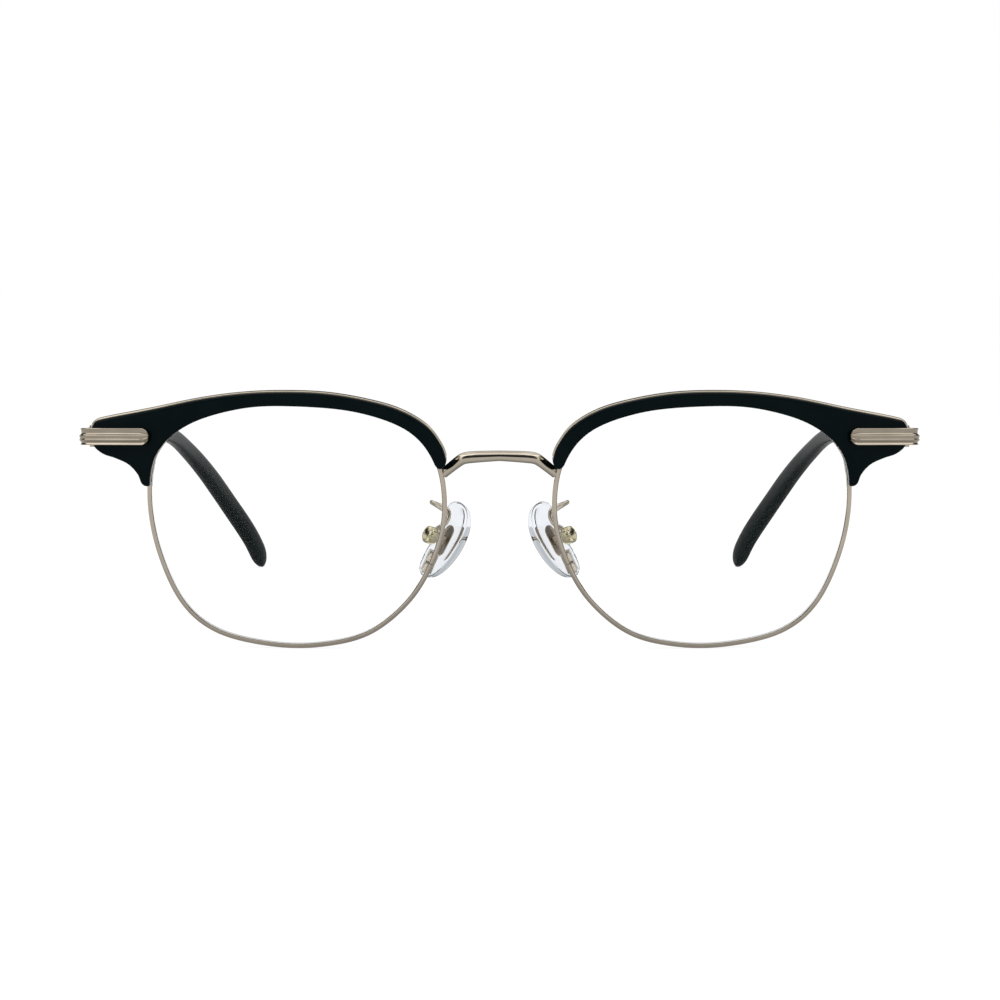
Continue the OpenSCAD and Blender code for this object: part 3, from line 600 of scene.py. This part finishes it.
def end_piece(side):
    turn = plate_point(END_MID_X - END_CORNER)
    first = plate_point(PLATE_START)
    way = [
        first + (plate_point(PLATE_START + 1) - first) * END_HEIGHT / 2,
        plate_point((PLATE_START + END_MID_X - END_CORNER) / 2),
        plate_point(END_MID_X - END_CORNER - 1.6), turn + Vector((0, 0.06, 0)),
        turn + Vector((0.72 * END_CORNER, 0.4 * END_CORNER, 0)),
        turn + Vector((END_CORNER, 1.1 * END_CORNER, 0)),
        Vector((END_MID_X, HINGE_AT.y - 3.2, HINGE_AT.z)),
        Vector((END_MID_X, HINGE_AT.y - 0.15, HINGE_AT.z)),
    ]
    along = (way[1] - first).normalized()
    nose_end = [first + along * d for d in (0.01, 0.05, 0.13, 0.26, 0.42, 0.62, 0.86, 1.15)]
    path = nose_end + [open_at(way, s) for s in stops(0, len(way) - 1, 56)]
    # The plate leans with the brow in front and stands upright beside the hinge
    lean = TILT - math.asin(HINGE_AT.z / BALL_RADIUS)
    lean_up = Vector((0, -math.sin(lean), math.cos(lean)))
    ups = [lean_up.lerp(Vector((0, 0, 1)), min(1, max(0, (p.y - 3) / 4))) for p in path]

    def share(p):
        """The share of the full height, for a round nose end."""
        near = min(1, (p - first).length / (END_HEIGHT / 2))
        return math.sqrt(1 - (1 - near) ** 2)

    flutes = [
        (0.16, -1), (0.27, -0.97), (0.3, -0.91), (0.25, -0.83), (0.17, -0.75), (0.17, -0.66),
        (0.27, -0.57), (0.42, -0.5), (0.5, -0.43), (0.5, -0.36), (0.44, -0.28), (0.4, -0.17),
        (0.44, -0.06), (0.51, 0.02), (0.52, 0.09), (0.46, 0.17), (0.31, 0.24), (0.19, 0.34),
        (0.15, 0.48), (0.17, 0.64), (0.22, 0.77), (0.29, 0.86), (0.31, 0.92), (0.27, 0.97),
        (0.16, 1),
    ]
    front = [(out, up * END_HEIGHT / 2) for out, up in flutes]
    back = [(-0.42, 1.45), (-0.5, 1.37), (-0.5, 0.7), (-0.5, -0.7), (-0.5, -1.37), (-0.42, -1.45)]
    bm = bmesh.new()
    sweep(bm, frames_along(path, ups, [(0.6 + 0.4 * share(p), share(p)) for p in path]),
          front + back)
    piece(f"{side}_end_piece_plate", bm, TEMPLES, side, "front", FLUTED_GOLD_PAINTED_SHADE,
          [f"{side}_end_piece"])


temple_spans = len(TEMPLE_POINTS) - 1
temple_path = [open_at(TEMPLE_POINTS, s)
               for s in stops(0, temple_spans, TEMPLE_STOPS * temple_spans)]
temple_run = [0]
for near, far in zip(temple_path, temple_path[1:]):
    temple_run.append(temple_run[-1] + (far - near).length)
TEMPLE_TOTAL = temple_run[-1]


def along_temple(d, half_width, half_height):
    """The frame across the temple at a distance from the hinge, scaled to its section."""
    i = next((k for k, run in enumerate(temple_run[1:]) if run >= d), len(temple_run) - 2)
    t = (d - temple_run[i]) / (temple_run[i + 1] - temple_run[i])
    middle = temple_path[i].lerp(temple_path[i + 1], t)
    s = (i + t) / TEMPLE_STOPS
    ahead = open_at(TEMPLE_POINTS, min(s + 0.05, temple_spans))
    behind = open_at(TEMPLE_POINTS, max(s - 0.05, 0))
    return frame_at(middle, ahead - behind, Vector((0, 0, 1)), (half_width, half_height))


def arm_half_height(d):
    taper = (d - ARM_TAPER_FROM) / (TIP_START - ARM_TAPER_FROM)
    return mixed(END_HEIGHT, ARM_END_HEIGHT, taper) / 2


def arm_stops(slack, start, core_end):
    """Frames along the metal arm and its core wire, made thicker by a slack."""
    flat = [along_temple(d, ARM_THICKNESS / 2 + slack, arm_half_height(d) + slack)
            for d in stops(start, TIP_START + TIP_LAP, max(2, round((TIP_START - start) / 2)))]
    wire = [along_temple(d, CORE_RADIUS + slack, CORE_RADIUS + slack)
            for d in stops(TIP_START + TIP_LAP + CORE_NECK, core_end, 30)]
    return flat + wire


def temple_arm(side):
    bm = bmesh.new()
    sweep(bm, arm_stops(0, 0, TEMPLE_TOTAL - CORE_SHORT), squared_circle(0.55, 24))
    piece(f"{side}_temple_bar", bm, TEMPLES, side, f"{side}_temple", CHAMPAGNE,
          [f"{side}_temple_arm"])


def tip_frame(d):
    """The frame across the tip, which is rounded at its mouth and at its end."""
    grow = mixed(0, 1, (d - TIP_START - TIP_GROW_FROM) / TIP_GROW_LENGTH)
    left = min(1, (TEMPLE_TOTAL - d) / TIP_ROUND)
    share = 0.5 * math.sqrt(1 - (1 - left) ** 2)
    if d < TIP_START + TIP_MOUTH:
        share *= mixed(TIP_MOUTH_SHARE, 1, (d - TIP_START) / TIP_MOUTH)
    return along_temple(d, mixed(TIP_BEGIN[0], TIP_END[0], grow) * share,
                        mixed(TIP_BEGIN[1], TIP_END[1], grow) * share)


def temple_tip(side):
    """The tip comes out of its own socket and runs back over it to its round end."""
    round_end = [TEMPLE_TOTAL - TIP_ROUND * left
                 for left in (0.75, 0.5, 0.3, 0.15, 0.06, 0.015, 0.001)]
    outside = stops(TIP_START + TIP_MOUTH, TEMPLE_TOTAL - TIP_ROUND, 70) + round_end
    inside = arm_stops(SOCKET_SLACK, TIP_START, TEMPLE_TOTAL - CORE_SHORT + SOCKET_SLACK)
    frames = list(reversed(inside))
    frames += [tip_frame(d) for d in [TIP_START, TIP_START + TIP_MOUTH / 2] + outside]
    bm = bmesh.new()
    sweep(bm, frames, squared_circle(0.75, 28))
    piece(f"{side}_temple_tip_acetate", bm, TEMPLES, side, f"{side}_temple", SATIN_ACETATE,
          [f"{side}_temple_tip"])


# Nose pads

PAD = (FRONT @ Matrix.Translation(PAD_SCREW_AT) @ Matrix.Rotation(-PAD_SLANT, 4, "Y")
       @ Matrix.Rotation(-PAD_SPLAY, 4, "Z") @ Matrix.Rotation(math.radians(-90), 4, "Z")
       @ Matrix.Rotation(math.radians(90), 4, "X"))


def nose_pad(side):
    """A pad with a flat back, round edges and a crowned front."""
    outline = [(x * PAD_WIDTH, y * PAD_LENGTH) for x, y in PAD_POINTS]
    top = PAD_BACK + PAD_THICKNESS
    edge = [(0.95, 0.6, 0), (1, 0.65, 0), (1, 0.38, 0.05), (1, 0.18, 0.15), (1, 0.05, 0.32),
            (1, 0, 0.55)]
    crown = [(1, 0.02, 0.45), (1, 0.1, 0.24), (1, 0.25, 0.1), (1, 0.45, 0.02), (1, 0.65, 0),
             (0.95, 0.6, 0), (0.85, 0.5, 0), (0.7, 0.35, 0), (0.5, 0.2, 0), (0.3, 0.1, 0),
             (0.12, 0, 0)]
    ways = stops(0, len(PAD_POINTS), 8 * len(PAD_POINTS))[:-1]

    def ring(share, inset, lift, crowned):
        points = []
        for s in ways:
            p = share * (closed_at(outline, s) - inset * out_of(closed_at, outline, s))
            high = top - p.length_squared / (2 * PAD_CROWN) - lift
            points.append(Vector((p.x, p.y + PAD_MIDDLE, high if crowned else PAD_BACK + lift)))
        return points

    bm = bmesh.new()
    back = [(share, 0.5, 0) for share in (0.12, 0.4, 0.7)] + edge
    loft(bm, [ring(*r, False) for r in back] + [ring(*r, True) for r in crown])
    silicone = piece(f"{side}_nose_pad_silicone", bm, PAD, side, f"{side}_pad", PAD_SILICONE,
                     [f"{side}_nose_pad"])


def pad_arm(side):
    path = [open_at(ARM_POINTS, s) + Vector((NOSE_GAP / 2, 0, 0))
            for s in stops(0, len(ARM_POINTS) - 1, 90)]
    bm = bmesh.new()
    section = [(WIRE_RADIUS * a, WIRE_RADIUS * b) for a, b in squared_circle(1, 16)]
    sweep(bm, frames_along(path, [Vector((0.3, 0.2, 1))] * len(path)), section)
    piece(f"{side}_pad_arm_wire", bm, FRONT, side, "front", CHAMPAGNE, [f"{side}_pad_arm"])


def pad_cup(side):
    """A cup with a grooved, domed back and a flat on each side for the screw."""
    def dome(r):
        return CUP_BACK + r * r / (2 * CUP_DOME)

    rings = [(r, dome(r)) for r in (0.1, 0.3, 0.5, 0.7, 0.86, 0.94)]
    rings += [(0.98, dome(0.98) + 0.1), (1.06, dome(1.06) + 0.12), (1.12, dome(1.12) + 0.08)]
    rings += [(1.16, dome(1.16)), (1.28, dome(1.28) + 0.01), (1.4, dome(1.4) + 0.05)]
    rings += [(1.48, dome(1.48) + 0.14), (CUP_RADIUS, dome(1.5) + 0.28), (CUP_RADIUS, 0.2)]
    rings += [(CUP_RADIUS, CUP_FRONT - 0.08), (1.44, CUP_FRONT), (1.16, CUP_FRONT)]
    rings += [(1.08, CUP_FRONT - 0.08), (1.08, -0.8), (0.98, -0.88), (0.1, -0.88)]

    def ring(radius, depth):
        turns = [math.tau * k / 64 for k in range(64)]
        across = [max(-CUP_HALF_WIDTH, min(CUP_HALF_WIDTH, radius * math.cos(a))) for a in turns]
        return [Vector((x, radius * math.sin(a), depth)) for x, a in zip(across, turns)]

    bm = bmesh.new()
    loft(bm, [ring(*r) for r in rings])
    piece(f"{side}_pad_box_cup", bm, PAD, side, "front", GILT, [f"{side}_pad_box"])


# Small metal pieces keep their built shape, with their edges broken

def broken_edges(node, body, material):
    """A CAD node's own mesh, merged and flattened, with a narrow bevel on its sharp edges."""
    bm = bmesh.new()
    bm.from_mesh(frame["nodes"][node].data)
    bmesh.ops.remove_doubles(bm, verts=bm.verts, dist=CAD_MERGE * MM)
    bmesh.ops.dissolve_limit(bm, angle_limit=FLAT_ANGLE, verts=bm.verts, edges=bm.edges)
    sharp = [e for e in bm.edges if len(e.link_faces) == 2 and e.calc_face_angle() > BROKEN_FROM]
    softened(bm, sharp, BROKEN_EDGE * MM, 2, clamped=True)
    bmesh.ops.transform(bm, matrix=Matrix.Scale(1 / MM, 4), verts=bm.verts)
    # The node is already on its own side, so nothing is mirrored
    piece(f"{node}_finished", bm, Matrix.Scale(MM, 4), "left", body, material, [node])


SMALL_PIECES = {
    "closing_block": ("front", CHAMPAGNE), "closing_screw": ("front", STEEL),
    "brow_tab": ("front", CHAMPAGNE), "rim_lug": ("front", CHAMPAGNE),
    "brow_screws": ("front", STEEL), "hinge_front": ("front", CHAMPAGNE),
    "hinge_screw": ("front", STEEL), "hinge_temple": ("temple", CHAMPAGNE),
    "pad_screw": ("front", GILT), "pad_core": ("pad", BRONZE),
}


# Studio

WHITE = (1, 1, 1, 1)
EVEN_LIGHT = (0.62, 0.62, 0.62, 1)
# The levels of what the gloss mirrors, by height from straight down at 0 to straight up at 1
GLOSS_LEVELS = ((0.48, 0.72), (0.6, 0.85), (0.66, 0.04), (0.77, 0.02), (0.82, 1.1), (0.92, 1.1),
                (0.97, 0.05))
# The backdrop's white fades to the darker room between these levels of how far a ray runs back
BACKDROP_EDGE = (0.35, 0.9)
DARK_ROOM = (0.27, 0.30, 0.32, 1)
FLOOR_HALF = 6
FLOOR_TONE = (0.9, 0.9, 0.9, 1)
FLOOR_GLOW = 1.15
FLOOR_GLOW_SHARE = 0.75
# The floor's painted reflection, its level in the gloss, darker near the glasses as painted shade,
# grows from the first distance to the second, in metres
PAINTED_REFLECTION_FROM, PAINTED_REFLECTION_TO = (0.04, 0.25), (0.14, 0.75)


def studio_world():
    """White behind the object, a banded gradient in its gloss and an even light on it.

    Rays that clear pieces bend sideways meet a darker room.
    """
    world = bpy.data.worlds.new("studio")
    bpy.context.scene.world = world
    world.use_nodes = True
    nodes, links = world.node_tree.nodes, world.node_tree.links
    background = nodes["Background"]
    ray = nodes.new("ShaderNodeLightPath")
    direction = nodes.new("ShaderNodeTexCoord")
    towards = nodes.new("ShaderNodeVectorMath")
    towards.operation = "DOT_PRODUCT"
    towards.inputs[1].default_value = (0, 0, 1)
    links.new(direction.outputs["Generated"], towards.inputs[0])
    shift = nodes.new("ShaderNodeMapRange")
    shift.inputs["From Min"].default_value = -1
    links.new(towards.outputs["Value"], shift.inputs["Value"])
    ramp = nodes.new("ShaderNodeValToRGB")
    while len(ramp.color_ramp.elements) < len(GLOSS_LEVELS):
        ramp.color_ramp.elements.new(0.5)
    for element, (position, level) in zip(ramp.color_ramp.elements, GLOSS_LEVELS):
        element.position = position
        element.color = (level, level, level, 1)
    links.new(shift.outputs["Result"], ramp.inputs["Fac"])

    def chosen(factor, off, on):
        mix = nodes.new("ShaderNodeMix")
        mix.data_type = "RGBA"
        links.new(factor, mix.inputs["Factor"])
        for name, value in (("A", off), ("B", on)):
            socket = next(s for s in mix.inputs if s.name == name and s.type == "RGBA")
            if isinstance(value, tuple):
                socket.default_value = value
            else:
                links.new(value, socket)
        return next(s for s in mix.outputs if s.type == "RGBA")

    glossy = chosen(ray.outputs["Is Glossy Ray"], EVEN_LIGHT, ramp.outputs["Color"])
    backdrop = nodes.new("ShaderNodeSeparateXYZ")
    links.new(direction.outputs["Generated"], backdrop.inputs["Vector"])
    behind = nodes.new("ShaderNodeMapRange")
    behind.inputs["From Min"].default_value = BACKDROP_EDGE[0]
    behind.inputs["From Max"].default_value = BACKDROP_EDGE[1]
    links.new(backdrop.outputs["Y"], behind.inputs["Value"])
    seen_through = chosen(behind.outputs["Result"], DARK_ROOM, WHITE)
    through = chosen(ray.outputs["Is Transmission Ray"], glossy, seen_through)
    links.new(chosen(ray.outputs["Is Camera Ray"], through, WHITE), background.inputs["Color"])


def floor():
    """A pale floor that glows to the camera and through glass, and shows in the gloss as a dimmer
    painted reflection, with painted shade near its middle.
    """
    bm = bmesh.new()
    bmesh.ops.create_grid(bm, x_segments=1, y_segments=1, size=FLOOR_HALF)
    mesh = bpy.data.meshes.new("floor")
    bm.to_mesh(mesh)
    bm.free()
    obj = bpy.data.objects.new("floor", mesh)
    bpy.context.scene.collection.objects.link(obj)
    material = bpy.data.materials.new("white floor")
    material.use_nodes = True
    nodes, links = material.node_tree.nodes, material.node_tree.links
    nodes.clear()
    matt = nodes.new("ShaderNodeBsdfDiffuse")
    matt.inputs["Color"].default_value = FLOOR_TONE
    glow = nodes.new("ShaderNodeEmission")
    glow.inputs["Strength"].default_value = FLOOR_GLOW
    ray = nodes.new("ShaderNodeLightPath")
    place = nodes.new("ShaderNodeTexCoord")
    away = nodes.new("ShaderNodeVectorMath")
    away.operation = "LENGTH"
    links.new(place.outputs["Object"], away.inputs[0])
    fade = nodes.new("ShaderNodeMapRange")
    for end, (distance, level) in (("Min", PAINTED_REFLECTION_FROM), ("Max", PAINTED_REFLECTION_TO)):
        fade.inputs[f"From {end}"].default_value = distance
        fade.inputs[f"To {end}"].default_value = level
    links.new(away.outputs["Value"], fade.inputs["Value"])
    # Glossy rays see an emission here, a painted reflection of the floor, darker near the floor's
    # middle under the glasses as painted shade
    painted_reflection = nodes.new("ShaderNodeEmission")
    links.new(fade.outputs["Result"], painted_reflection.inputs["Strength"])
    seen = nodes.new("ShaderNodeMath")
    seen.operation = "MAXIMUM"
    links.new(ray.outputs["Is Camera Ray"], seen.inputs[0])
    links.new(ray.outputs["Is Transmission Ray"], seen.inputs[1])
    share = nodes.new("ShaderNodeMath")
    share.operation = "MULTIPLY"
    share.inputs[1].default_value = FLOOR_GLOW_SHARE
    links.new(seen.outputs["Value"], share.inputs[0])
    mix = nodes.new("ShaderNodeMixShader")
    links.new(share.outputs["Value"], mix.inputs["Fac"])
    links.new(matt.outputs["BSDF"], mix.inputs[1])
    links.new(glow.outputs["Emission"], mix.inputs[2])
    gloss = nodes.new("ShaderNodeMath")
    gloss.operation = "SUBTRACT"
    gloss.use_clamp = True
    links.new(ray.outputs["Is Glossy Ray"], gloss.inputs[0])
    links.new(ray.outputs["Is Transmission Ray"], gloss.inputs[1])
    mirrored = nodes.new("ShaderNodeMixShader")
    links.new(gloss.outputs["Value"], mirrored.inputs["Fac"])
    links.new(mix.outputs["Shader"], mirrored.inputs[1])
    links.new(painted_reflection.outputs["Emission"], mirrored.inputs[2])
    output = nodes.new("ShaderNodeOutputMaterial")
    links.new(mirrored.outputs["Shader"], output.inputs["Surface"])
    mesh.materials.append(material)


def softbox(name, at, size, watts):
    """A square lamp that faces the object."""
    data = bpy.data.lights.new(name, "AREA")
    data.size = size
    data.energy = watts
    lamp = bpy.data.objects.new(name, data)
    bpy.context.scene.collection.objects.link(lamp)
    lamp.location = at
    lamp.rotation_euler = (-Vector(at)).to_track_quat("-Z", "Y").to_euler()


def camera():
    data = bpy.data.cameras.new("camera")
    data.angle = 2 * math.atan(HALF_WIDTH / CAMERA_AWAY)
    obj = bpy.data.objects.new("camera", data)
    bpy.context.scene.collection.objects.link(obj)
    look = Matrix.Rotation(-LOOK_DOWN, 4, "X")
    obj.location = TEMPLES @ (look @ Vector((CAMERA_SIDE, -CAMERA_AWAY, CAMERA_LIFT)))
    obj.rotation_euler = (math.radians(90) - LOOK_DOWN - STAND_PITCH, 0, 0)
    data.clip_start, data.clip_end = 0.01, 50
    bpy.context.scene.camera = obj


camera()
bridge()
for side in SIDES:
    for make in (rim, lens, brow, brow_trim, end_piece, temple_arm, temple_tip, nose_pad, pad_arm,
                 pad_cup):
        make(side)
    for node, (body, material) in SMALL_PIECES.items():
        where = body if body == "front" else f"{side}_{body}"
        broken_edges(f"{side}_{node}", where, material)

studio_world()
floor()
softbox("overhead softbox", (0, -0.15, 0.9), 0.9, 2.2)
softbox("left softbox", (-0.8, -0.5, 0.6), 0.6, 1.4)
softbox("right softbox", (0.8, -0.5, 0.6), 0.6, 1.1)
bpy.context.scene.view_settings.view_transform = "Standard"
